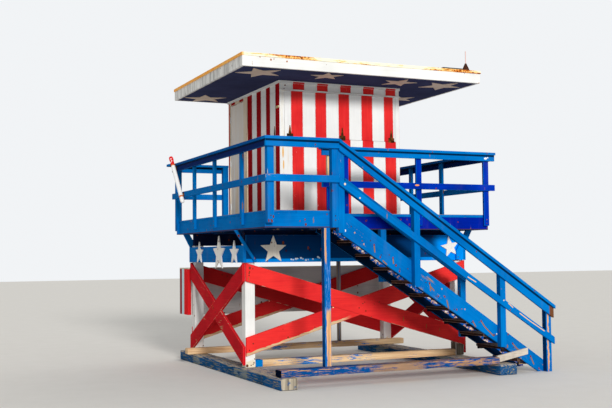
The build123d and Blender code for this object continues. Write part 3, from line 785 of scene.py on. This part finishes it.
def shells(name, stacks, material, crease=40):
    """One piece from closed shells.

    Each stack is an array of shells, each shell a row of rings, each ring a loop of points. Neighbouring
    rings are joined by four-sided faces, the first and last ring are closed by one face each, and a shell
    whose signed space is negative is turned outwards.
    """
    points, faces, used = [], [], 0
    for stack in stacks:
        count, rings, size, _ = stack.shape
        flat = stack.reshape(-1, 3)
        number = np.arange(len(flat)).reshape(count, rings, size)
        ahead = np.roll(number, -1, axis=2)
        walls = np.stack([number[:, :-1], ahead[:, :-1], ahead[:, 1:], number[:, 1:]], axis=-1)
        walls = walls.reshape(count, -1, 4)
        ends = np.stack([number[:, 0, ::-1], number[:, -1]], axis=1)
        space = swept(flat, walls).sum(axis=(1, 2)) + swept(flat, ends).sum(axis=(1, 2))
        inward = (space < 0)[:, None, None]
        walls = np.where(inward, walls[..., ::-1], walls).reshape(-1, 4)
        ends = np.where(inward, ends[..., ::-1], ends).reshape(-1, size)
        faces += (walls + used).tolist() + (ends + used).tolist()
        points.append(flat + CORNER)
        used += len(flat)
    mesh = bpy.data.meshes.new(name)
    mesh.from_pydata(np.concatenate(points).tolist(), [], faces)
    mesh.shade_smooth()
    mesh.set_sharp_from_angle(angle=math.radians(crease))
    mesh.materials.append(material)
    return place_piece(name, mesh)


def gather(axis, along, across, through):
    """Points from their coordinates along one axis and along the other two, in their order."""
    parts = [across, through]
    parts.insert(axis, along)
    return np.stack(np.broadcast_arrays(*parts), axis=-1).astype(float)


def boards(lows, highs, along, ease=0.003, wander=0.0, rings=6, side_points=3, seed=1):
    """Timbers between opposite corners: a rectangle with cut corners carried along each board.

    The two end rings are drawn in by the ease. wander lifts and sinks the sides by slow waves of the
    length, each with its own phase, and by finer noise, most at the corners.
    """
    lows, highs = np.atleast_2d(lows).astype(float), np.atleast_2d(highs).astype(float)
    chance = np.random.default_rng(seed)
    middle, half = (lows + highs) / 2, (highs - lows) / 2
    others = [axis for axis in range(3) if axis != along]
    step = np.linspace(-1, 1, side_points)
    flat, none = np.ones(side_points), np.zeros(side_points)
    side = np.reshape([[flat, -step, -flat, step], [step, flat, -step, -flat]], (2, 1, -1))
    faced = np.reshape([[flat, none, -flat, none], [none, flat, none, -flat]], (2, 1, -1))
    share = np.concatenate([[0, 0.004], np.linspace(0.03, 0.97, rings - 4), [0.996, 1]])[:, None]
    drawn = np.where((share == 0) | (share == 1), ease, 0.0)
    reach = half[:, others, None, None] - drawn - ease * (1 - abs(faced))
    place = share * half[:, along, None, None] * 2
    phase = chance.uniform(0, 6.28, (len(lows), 1, side.size // 2))
    slow = np.sin(place * 5.1 + phase) * 0.6 + np.sin(place * 13.7 + phase * 2.3) * 0.4
    fine = chance.uniform(-1, 1, slow.shape)
    corner = np.where(abs(np.tile(step, 4)) > 0.9, 1.0, 0.45)
    lift = wander * corner * (slow * 0.5 + fine * 0.5 - 0.6)
    sides = middle[:, others, None, None] + side * reach + faced * lift[:, None]
    return gather(along, (middle - half)[:, along, None, None] + place, sides[:, 0], sides[:, 1])


def domes(places, axis, side, radius=0.009, height=0.005, points=10):
    """Round heads on a face: a quarter circle of rings whose radius falls as a cosine and whose height
    climbs as a sine, with one ring sunk under the face."""
    places = np.atleast_2d(places).astype(float)[:, :, None, None]
    turn = np.linspace(0, 2 * math.pi, points, endpoint=False)
    climb = np.array([0, 0, 0.45, 0.8, 0.97])[None, :, None] * math.pi / 2
    reach = radius * np.cos(climb)
    rise = height * np.sin(climb) - np.array([0.001, 0, 0, 0, 0])[None, :, None]
    across, through = [a for a in range(3) if a != axis]
    return gather(axis, places[:, axis] + side * rise, places[:, across] + reach * np.cos(turn),
                  places[:, through] + reach * np.sin(turn))


def turned(starts, ends, shares, radii, points=24):
    """Bars between two points each: a circle carried along the line, its radius given at shares of it."""
    starts, ends = np.atleast_2d(starts).astype(float), np.atleast_2d(ends).astype(float)
    run = ends - starts
    line = run / np.linalg.norm(run, axis=1, keepdims=True)
    other = np.where(abs(line[:, 2:]) < 0.9, [[0.0, 0.0, 1.0]], [[1.0, 0.0, 0.0]])
    out = np.cross(line, other)
    out /= np.linalg.norm(out, axis=1, keepdims=True)
    up = np.cross(line, out)
    turn = np.linspace(0, 2 * math.pi, points, endpoint=False)
    spoke = (out[:, None, None] * np.cos(turn)[None, None, :, None]
             + up[:, None, None] * np.sin(turn)[None, None, :, None])
    centre = starts[:, None, None] + run[:, None, None] * np.array(shares)[None, :, None, None]
    return centre + spoke * np.array(radii)[None, :, None, None]


def star_plates(centres, reaches, leans, low, high):
    """Flat stars: ten corners round a centre, far and near in turn every 36 degrees, at two heights."""
    turn = np.radians(90 + 36 * np.arange(10) + np.array(leans)[:, None])
    far = np.where(np.arange(10) % 2 == 0, 1.0, 0.42) * np.array(reaches)[:, None]
    x, y = np.transpose(centres)[..., None] + far * np.stack([np.cos(turn), np.sin(turn)])
    return gather(2, np.array([low, high])[None, :, None], x[:, None], y[:, None])


def sloped(low, right, back, top, slope, deep_left, deep_right):
    """A level board with upright ends sheared down the stair: z is the line top - slope x less the share
    of the depth, which runs evenly from its left end to its right end."""
    left, front = float(low[0]), float(low[1])
    grid = boards([(left, front, -deep_left)], [(right, back, 0)], 0, 0.003, 0.0006, 60, 4, 11)
    x = grid[..., 0]
    depth = 1 + (x - left) / (right - left) * (deep_right / deep_left - 1)
    grid[..., 2] = top - slope * x + grid[..., 2] * depth
    return grid


def knee(top, foot, front, mirrored=False, limit=0.150, ease=0.003, thick=0.038):
    """A slanting board: left and right edges are straight lines in z between their x at the top and at
    the foot, the right one held at a limit, and the same section is repeated down the board."""
    z = np.linspace(knee_high[2], knee_low[2], 24)
    share = (z - knee_high[2]) / (knee_low[2] - knee_high[2])
    left = top[0] + (foot[0] - top[0]) * share
    right = np.minimum(top[1] + (foot[1] - top[1]) * share, limit)
    x = np.stack([left + ease, right - ease, right, right, right - ease, left + ease, left, left], axis=1)
    y = front + np.array([0, 0, ease, thick - ease, thick, thick, thick - ease, ease])
    return gather(2, z[:, None], LEGS_WIDE - x if mirrored else x, y)[None]


def deck_rows(node, rows, seed):
    """Boards along x that fill a floor: equal rows with a 4 mm joint, each cut once at its own place."""
    low, high = corners(node)
    depth = (high[1] - low[1]) / rows
    cut = np.random.default_rng(seed).choice([0.25, 0.4, 0.55, 0.7], rows) * (high[0] - low[0]) + low[0]
    front = low[1] + depth * np.arange(rows)
    lows = [(x, y, low[2]) for y, c in zip(front, cut) for x in (low[0], c + 0.003)]
    highs = [(x, y + depth - 0.004, high[2]) for y, c in zip(front, cut) for x in (c, high[0])]
    return np.array(lows), np.array(highs)


def felt(strips=4):
    """A saw-tooth section carried along x: strips climb 5 mm to their laps, and slow waves lift them."""
    (left, low, _), (right, high, _) = corners("roof_deck")
    step = (high - low) / strips
    front = low + step * np.arange(strips)
    y = np.stack([front + 0.002, front + step * 0.5, front + step - 0.002], axis=1).ravel()
    lift = np.tile([0.007, 0.0045, 0.002], strips)
    y = np.concatenate([y, y[::-1]])
    lift = np.concatenate([lift, np.full(len(lift), -0.001)])
    x = np.linspace(left, right, 120)
    wave = 0.0012 * (np.sin(x * 3.1)[:, None] + np.sin(x[:, None] * 7.7 + y[None] * 4))
    return gather(0, x[:, None], y[None], ROOF_TOP + lift + np.where(lift > 0, wave, 0))[None]


# More worn paint for the rounded edges
WORN_EDGE = dict(woods=("e2ccac", WOODS[1]), grime=0.15)
edges = {along: coated("worn blue edge along " + along, SKY, along, **WORN_EDGE)
         for along in ("x", "y", "z", "stair")}
edges["white"] = coated("worn white edge", WHITES, worn=0.03, rust=0.6, **WORN_EDGE)
edges["red"] = coated("worn red edge", REDS, worn=0.06, **WORN_EDGE)

# Railing and stair
eased("front_back_rail_boards", rail_paint, "x")
eased("front_back_caps", cap_paint("x", SKY), "x")
eased("long_rims", rim_paint("x", 0.6), "x")
eased("side_rims", rim_paint("y", 0.9), "y")
# The side caps and their edges take the sky blue darkened as painted shade
eased("side_caps", cap_paint("y", SIDE_CAP_SHADE), coated("side cap edge", SIDE_CAP_SHADE, "y", worn=-0.02, rust=0.3))
eased("side_rail_boards", side_rail_paint, "y")
eased("rail_posts", rail_post_paint, "z", 0.004)
eased("stringers", stringer_paint, "stair")
rails = [sloped(near_low, RAIL_RIGHT - 0.010, RAIL_BACK, CAP_LINE, RAIL_SLOPE, 0.104, 0.147),
         sloped(near_low, RAIL_RIGHT, RAIL_BACK, 3.185, 0.6503, 0.102, 0.102)]
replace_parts(shells("stair_rail_boards", rails, stair_rail_paint), "near_stair_boards")

# The far rail, whose lower end is gone past its second post
FAR_END = 3.200
far_deep = 0.140 * math.hypot(1, STAIR_SLOPE)
far_line = float(far_high[2] + far_low[0] * STAIR_SLOPE)
far_rail = sloped(far_low, FAR_END, float(far_high[1]), far_line, STAIR_SLOPE, far_deep, far_deep)
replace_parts(shells("far_rail_board", [far_rail], stair_rail_paint), "far_stair_rail")
eased("near_stair_cap", coated("stair cap paint", SKY, "stair", worn=-0.03, rust=0.3), "stair")
eased("stair_posts", stair_post_paint, "z", 0.004, past=(4.0, -0.6))
eased("stair_treads",
      coated("tread paint", ("3a2822", "221a1e"), "y", worn=0.03, woods=("8c644c", "543628")),
      coated("tread edge", ("968074", "604234"), "y"), 0.005)

# Legs, braces, bands and what hangs on them
WIDE_TOP, WIDE_FOOT = (-0.130, -0.030), (0.095, 0.2235)
back_knees = knee_high[1] - 0.038
knees = [knee((-0.177, -0.133), (0.106, 0.150), knee_low[1]),
         knee(WIDE_TOP, WIDE_FOOT, knee_low[1], True),
         knee(WIDE_TOP, WIDE_FOOT, back_knees),
         knee(WIDE_TOP, WIDE_FOOT, back_knees, True)]
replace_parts(shells("knee_boards", knees, knee_paint), "knee_braces")
eased("front_star_panel", panel_paint, "x")
eased("side_bands", coated("band paint along y", SKY, "y", worn=-0.03, rust=0.6), "y")
eased("back_band", coated("band paint along x", SKY, worn=-0.03, rust=0.6), "x")
eased("joists", coated("under deck paint", ("0a427a", "1e2e42"), "y", worn=-0.02), width=0.002)
eased("girders", coated("girder paint", ("0e1e42", "101628"), worn=-0.04, rust=0.8))
eased("legs", leg_paint, "white", 0.005)
eased("front_back_x_braces", brace_paint, "red", 0.004)
# The side braces take the red darkened as painted shade
eased("side_x_braces",
      coated("red side brace paint", ("d01e28", "b01420"), "y", worn=-0.03, grime=0.1, rust=0.25),
      "red", 0.004)
eased("stars", star_paint, width=0.0015)
eased("props", prop_paint, "z", 0.004)
eased("loose_tie_board", coated("loose board", ("ded2c2", "b8ac9e"), worn=-0.02, grime=0.3))

# Cabin, roof and box
eased("door", door_paint, "white", body="door")
eased("door_casing", casing_paint, width=0.002)
eased("front_ledge", coated("trim paint", WHITES, worn=-0.07, rust=0.4), "white", 0.002)
eased("top_trims", stripes("trim boards", [], HEADER_REDS, (4.0, 4.196)), "white", 0.002)
eased("long_fascias", long_fascia_paint, "white")
eased("side_fascias", side_fascia_paint, "white")
eased("storage_box", box_paint)
eased("storage_box_lid", coated("lid paint", ("eee2c8", "cec4b0"), worn=-0.02, rust=1.2))
# The front wall's left end, the side walls and the side shutters have their red darkened as painted shade
dress(stripes("front wall boards", FRONT_REDS, HEADER_REDS, (4.084, 4.3), corner=SHADED_REDS[0],
              beside=(2.590, 3.384), under=wall_stains), "cabin_front_wall")
dress(stripes("front shutter boards", SHUTTER_REDS), "front_shutter")
dress(stripes("left wall boards", SIDE_REDS, SIDE_HEADER, SIDE_HEAD, "y", SHADED_REDS), "cabin_left_wall")
dress(stripes("right wall boards", SIDE_HEADER + SIDE_REDS[4:], SIDE_HEADER, SIDE_HEAD, "y", SHADED_REDS),
      "cabin_right_wall")
dress(stripes("side shutter boards", SIDE_REDS, across="y", coat=SHADED_REDS), "side_shutters")
dress(stripes("back wall boards", FRONT_REDS, corner=BACK_RED), "cabin_back_wall")
dress(coated("soffit paint", ("424768", "383c58"), shine=0.0, worn=-0.14, grime=0.0), "soffit")
dress(coated("rafter wood", WOODS, "y"), "rafters")
dress(coated("cabin floor boards", ("968269", "6e5c4c"), "y", worn=0.1), "cabin_floor")
felt_look = plain("roof felt", "c4c2bc", "9e9c98", 0.75, 26.0, 0.002, 0.15)
dress(felt_look, "roof_deck")
dress(drip_strip(), "drip_edges")
hinge_look = rusted("rusty hinge steel", "523216", "ac622a", 0.3, 0.65)
dress(hinge_look, "shutter_hinges", "tube_brackets")
dress(coated("painted door hinges", WHITES, "z", worn=-0.06, rust=1.0), "hinge_wall_leaves",
      "hinge_door_leaves")
dress(mast_paint(), "roof_mast")
dress(plain("door pull paint", "3c3430", "785a3c"), "door_pull")
dress(plain("roof sheet", "282c34", "181a20"), "roof_flat_panel")
tube_look = tube_foam()
dress(tube_look, "rescue_tube", "tube_cap")

# Weathered ground timbers, with chewed corners: left and right of each skid, then each beam's sides
SKIDS = ((skid_low[0], skid_low[0] + 0.23), (skid_high[0] - 0.288, skid_high[0]))
BEAMS = ((-0.020, 3.232, -1.294, -1.104), (0.140, 3.360, 0.0, 0.140), (-0.167, 3.667, 2.094, 2.234))
skids = boards([(low, skid_low[1], 0) for low, _ in SKIDS],
               [(high, skid_high[1], skid_high[2]) for _, high in SKIDS], 1, 0.007, 0.004, 90, 7, 3)
skids[..., 2] = np.maximum(skids[..., 2], 0)
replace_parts(shells("skid_timbers", [skids], skid_paint), "skids")
beams = boards([(x0, y0, beam_low[2]) for x0, _, y0, _ in BEAMS],
               [(x1, y1, beam_high[2]) for _, x1, _, y1 in BEAMS], 0, 0.005, 0.003, 80, 5, 5)
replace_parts(shells("beam_timbers", [beams], beam_paint), "cross_beams")

# Deck boards with open joints, staggered over the joists
for node, rows, seed in (("deck_floor", 21, 8), ("landing_floor", 6, 9)):
    planks = boards(*deck_rows(node, rows, seed), 0, 0.004)
    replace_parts(shells(node + "_boards", [planks], deck_paint), node)

# Roof felt in four lapped strips, and the stars under the eaves: centre and width of each
shells("roof_felt", [felt()], felt_look, crease=20)
EAVE_STARS = ((0.24, 0.01, 0.65), (1.22, -0.09, 0.47), (2.44, -0.01, 0.53), (3.18, 0.02, 0.64),
              (3.17, 1.30, 0.55), (0.23, 2.39, 0.67), (3.18, 2.39, 0.64))
eave = star_plates([place[:2] for place in EAVE_STARS], [width / 1.9 for _, _, width in EAVE_STARS],
                   18 * np.arange(len(EAVE_STARS)), SOFFIT_LOW - 0.006, SOFFIT_LOW)
star_look = coated("eave star paint", ("deccba", "ccb8a4"), worn=-0.06, grime=0.1)
shells("eave_stars", [eave], star_look)

# Middle x and top of each stair tread, set back from the slope through the corner of the stringers' foot
TREADS = 11
TREAD_THICK = 0.038
FOOT_X, FOOT_Z, SET_BACK = 4.172, 0.075, 0.257
tread_tops = DECK_TOP * (1 - np.arange(1, TREADS + 1) / (TREADS + 1))
tread_middles = FOOT_X - (tread_tops - FOOT_Z) / STAIR_SLOPE - SET_BACK


def slanting(spots, across, up):
    """Two bolts at each place, one shifted across and up from it and one the other way."""
    return [(u + way * across, z + way * up) for u, z in spots for way in (-1, 1)]


def stacked(places, heights):
    return [(u, z) for u in places for z in heights]


# Bolts through the legs, braces, posts and stringers: axis, side, place of the face, places on it
long_bolts = (slanting(((0.07, 1.445), (3.43, 1.445), (0.07, 0.43), (3.43, 0.43)), 0.027, 0.045)
              + slanting([(1.75, 0.938)], 0.03, 0.03))
side_bolts = slanting(((1.187, 0.876), (0.07, 1.445), (2.304, 1.445), (0.07, 0.307), (2.304, 0.307)),
                      0.03, 0.03)
knee_bolts = ((0.12, 1.62), (-0.035, 1.965), (3.38, 1.62), (3.535, 1.965))
tread_bolts = slanting(zip(tread_middles, tread_tops - TREAD_THICK / 2), 0.06, 0)
bolts = ((1, -1, -0.038, long_bolts), (1, 1, 2.412, long_bolts),
         (0, -1, -0.038, side_bolts), (0, 1, 3.538, side_bolts),
         (0, -1, -0.177, stacked((-0.3115, 0.8015, 1.7525), (2.105, 2.165))),
         (0, 1, 3.677, stacked((0.8015, 1.7525), (2.105, 2.165))),
         (1, -1, -1.279, stacked((-0.1325, 0.7585), (2.11, 2.165))),
         (1, -1, -0.471, stacked((1.0745, 1.3145, 2.4845, 3.6325), (2.11, 2.165))),
         (1, -1, -0.076, knee_bolts), (1, 1, 2.45, knee_bolts),
         (1, -1, corners("stringers")[0][1], tread_bolts))
heads = [domes([(u, face, z) if axis else (face, u, z) for u, z in spots], axis, side)
         for axis, side, face, spots in bolts]
shells("bolt_heads", heads, rusted("rusty bolt heads", "603e2c", ORANGE, 0.2, 0.4),
       crease=60)

# Barrels, plates and screws of the front shutter's hinges
hinge_front = corners("shutter_hinges")[0][1]
SILL = DECK_TOP + 1.142


def on_straps(x, y, z):
    """The same place on each of the three straps, from its foot's middle."""
    return [(middle + x, hinge_front + y, SILL + z) for middle in (0.879, 1.728, 2.560)]


screws = ((-0.034, 0.001), (0.034, 0.001), (-0.034, 0.045), (0.034, 0.045), (0, 0.09), (0, 0.13))
screw_heads = domes(sum((on_straps(x, 0, z) for x, z in screws), []), 1, -1, 0.004, 0.002, 8)
barrels = turned(on_straps(-0.052, 0, 0.014), on_straps(0.052, 0, 0.014),
                 [0, 0.01, 0.33, 0.34, 0.66, 0.67, 0.99, 1],
                 [0.004, 0.006, 0.006, 0.0052, 0.0052, 0.006, 0.006, 0.004], 12)
plates = boards(on_straps(-0.050, -0.001, 0.016), on_straps(0.050, 0.004, 0.058), 0, 0.001)
shells("hinge_barrels", [barrels, plates, screw_heads], hinge_look, crease=50)

# Rescue tube: a long foam bar with a red top, and the orange webbing round it
tube_foot = np.array([-0.264, 2.020, 2.500])
tube_head = np.array([-0.264, 2.625, 3.215])
tube_run = tube_head - tube_foot
tube_length = float(np.linalg.norm(tube_run))
TUBE_RADIUS = 0.032
rounding = np.array([0, 0.08, 0.3, 0.6, 1])
round_radius = np.maximum(TUBE_RADIUS * np.sqrt(1 - (1 - rounding) ** 2), 0.002)
tube = turned(tube_foot, tube_head, [*rounding * 0.03 / tube_length, 0.35, 0.7, 1],
              [*round_radius, 0.0325, TUBE_RADIUS, 0.0315], 32)
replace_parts(shells("rescue_tube_foam", [tube], tube_look, crease=60), "rescue_tube")
cap_end = tube_head + tube_run / tube_length * 0.074
cap = turned(tube_head, cap_end, [0, 0.03, 0.08, 0.6, 0.82, 0.94, 1],
             [0.033, 0.035, 0.035, 0.034, 0.030, 0.021, 0.003], 32)
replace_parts(shells("rescue_tube_top", [cap], tube_look, crease=60), "tube_cap")


def sleeve(share, width, thick=0.0015):
    """A short bar a little wider than the tube, centred at a share of its length."""
    middle = tube_foot + tube_run * share
    part = tube_run / tube_length * width / 2
    wide = TUBE_RADIUS + thick
    radii = TUBE_RADIUS, wide, wide, TUBE_RADIUS
    return turned(middle - part, middle + part, [0, 0.06, 0.94, 1], radii, 32)


shells("tube_bands", [sleeve(0.862, 0.022), sleeve(0.126, 0.034)],
       plain("faded orange webbing", "de7832", "be5c28", 0.7, 90.0, 0.001, 0.1))

# Latch on the left wall, beside the shutter
LEFT_WALL = 0.717
latch = boards([(LEFT_WALL - 0.008, 0.470, 3.812), (LEFT_WALL - 0.020, 0.456, 3.822)],
               [(LEFT_WALL, 0.580, 3.846), (LEFT_WALL - 0.006, 0.520, 3.838)], 1, 0.002)
shells("wall_latch", [latch], plain("cream latch", "e2ce96", "bea068"))

# Cleats under both ends of each tread, on the stringers' inner faces
ends = [(x, y, z) for x, z in zip(tread_middles, tread_tops - TREAD_THICK) for y in (-1.152, -0.585)]
cleats = boards([(x - 0.10, y, z - 0.038) for x, y, z in ends],
                [(x + 0.09, y + 0.038, z) for x, y, z in ends], 0)
shells("tread_cleats", [cleats], coated("cleat paint", (NIGHT_BLUE, "282024")))

# Camera, as solved from the photograph's frame of 612 by 408: its turns in degrees, place and lens
YAW, PITCH, ROLL = (math.radians(angle) for angle in (24.2027, 3.0749, -0.5554))
EYE = np.array([-4.6609, -12.4157, 1.6554]) + CORNER
ahead = np.array([math.sin(YAW) * math.cos(PITCH), math.cos(YAW) * math.cos(PITCH), math.sin(PITCH)])
level = np.array([math.cos(YAW), -math.sin(YAW), 0.0])
upright = np.cross(level, ahead)
view_right = level * math.cos(ROLL) + upright * math.sin(ROLL)
view_up = upright * math.cos(ROLL) - level * math.sin(ROLL)
lens = bpy.data.cameras.new("camera")
lens.sensor_width = 36
lens.lens = 968.67 / 612 * lens.sensor_width
camera = bpy.data.objects.new("camera", lens)
turn = Matrix(np.column_stack([view_right, view_up, -ahead]).tolist())
camera.matrix_world = Matrix.Translation(EYE.tolist()) @ turn.to_4x4()
bpy.context.scene.collection.objects.link(camera)
bpy.context.scene.camera = camera


def sun(name, energy, place, spread):
    """A sun that shines from a place toward the origin."""
    data = bpy.data.lights.new(name, "SUN")
    data.energy = energy
    data.angle = math.radians(spread)
    made = bpy.data.objects.new(name, data)
    made.location = place
    made.rotation_euler = (-Vector(place)).to_track_quat("-Z", "Y").to_euler()
    bpy.context.scene.collection.objects.link(made)


def studio(half=60.0):
    """A pale floor, and a world that is white to the camera and even and soft on the object."""
    mesh = bpy.data.meshes.new("floor")
    rim = [(-half, -half, 0), (half, -half, 0), (half, half, 0), (-half, half, 0)]
    mesh.from_pydata(rim, [], [(0, 1, 2, 3)])
    floor = bpy.data.objects.new("floor", mesh)
    bpy.context.scene.collection.objects.link(floor)
    look = Look("floor")
    colour = look.blend(look.cloud(3.0, 4.0), "ece7df", "e5e0d7")
    mesh.materials.append(look.surface(colour, 0.9))
    world = bpy.data.worlds.new("studio")
    bpy.context.scene.world = world
    sky = Tree(world)
    ray = sky.node("ShaderNodeLightPath")
    seen = sky.node("ShaderNodeMath", {"operation": "MAXIMUM"}, i0=ray("Is Camera Ray"),
                    i1=ray("Is Glossy Ray"))(0)
    soft = sky.node("ShaderNodeBackground", Color=(0.92, 0.96, 1.0, 1), Strength=0.5)(0)
    white = sky.node("ShaderNodeBackground", Color=(0.93, 0.95, 0.97, 1), Strength=0.95)(0)
    mixed = sky.node("ShaderNodeMixShader", i0=seen, i1=soft, i2=white)(0)
    sky.node("ShaderNodeOutputWorld", Surface=mixed)


sun("key", 2.42, (-0.9, -10, 3.4), 12)
sun("fill", 0.4, (7, 3, 6), 50)
studio()
bpy.context.scene.view_settings.view_transform = "Standard"
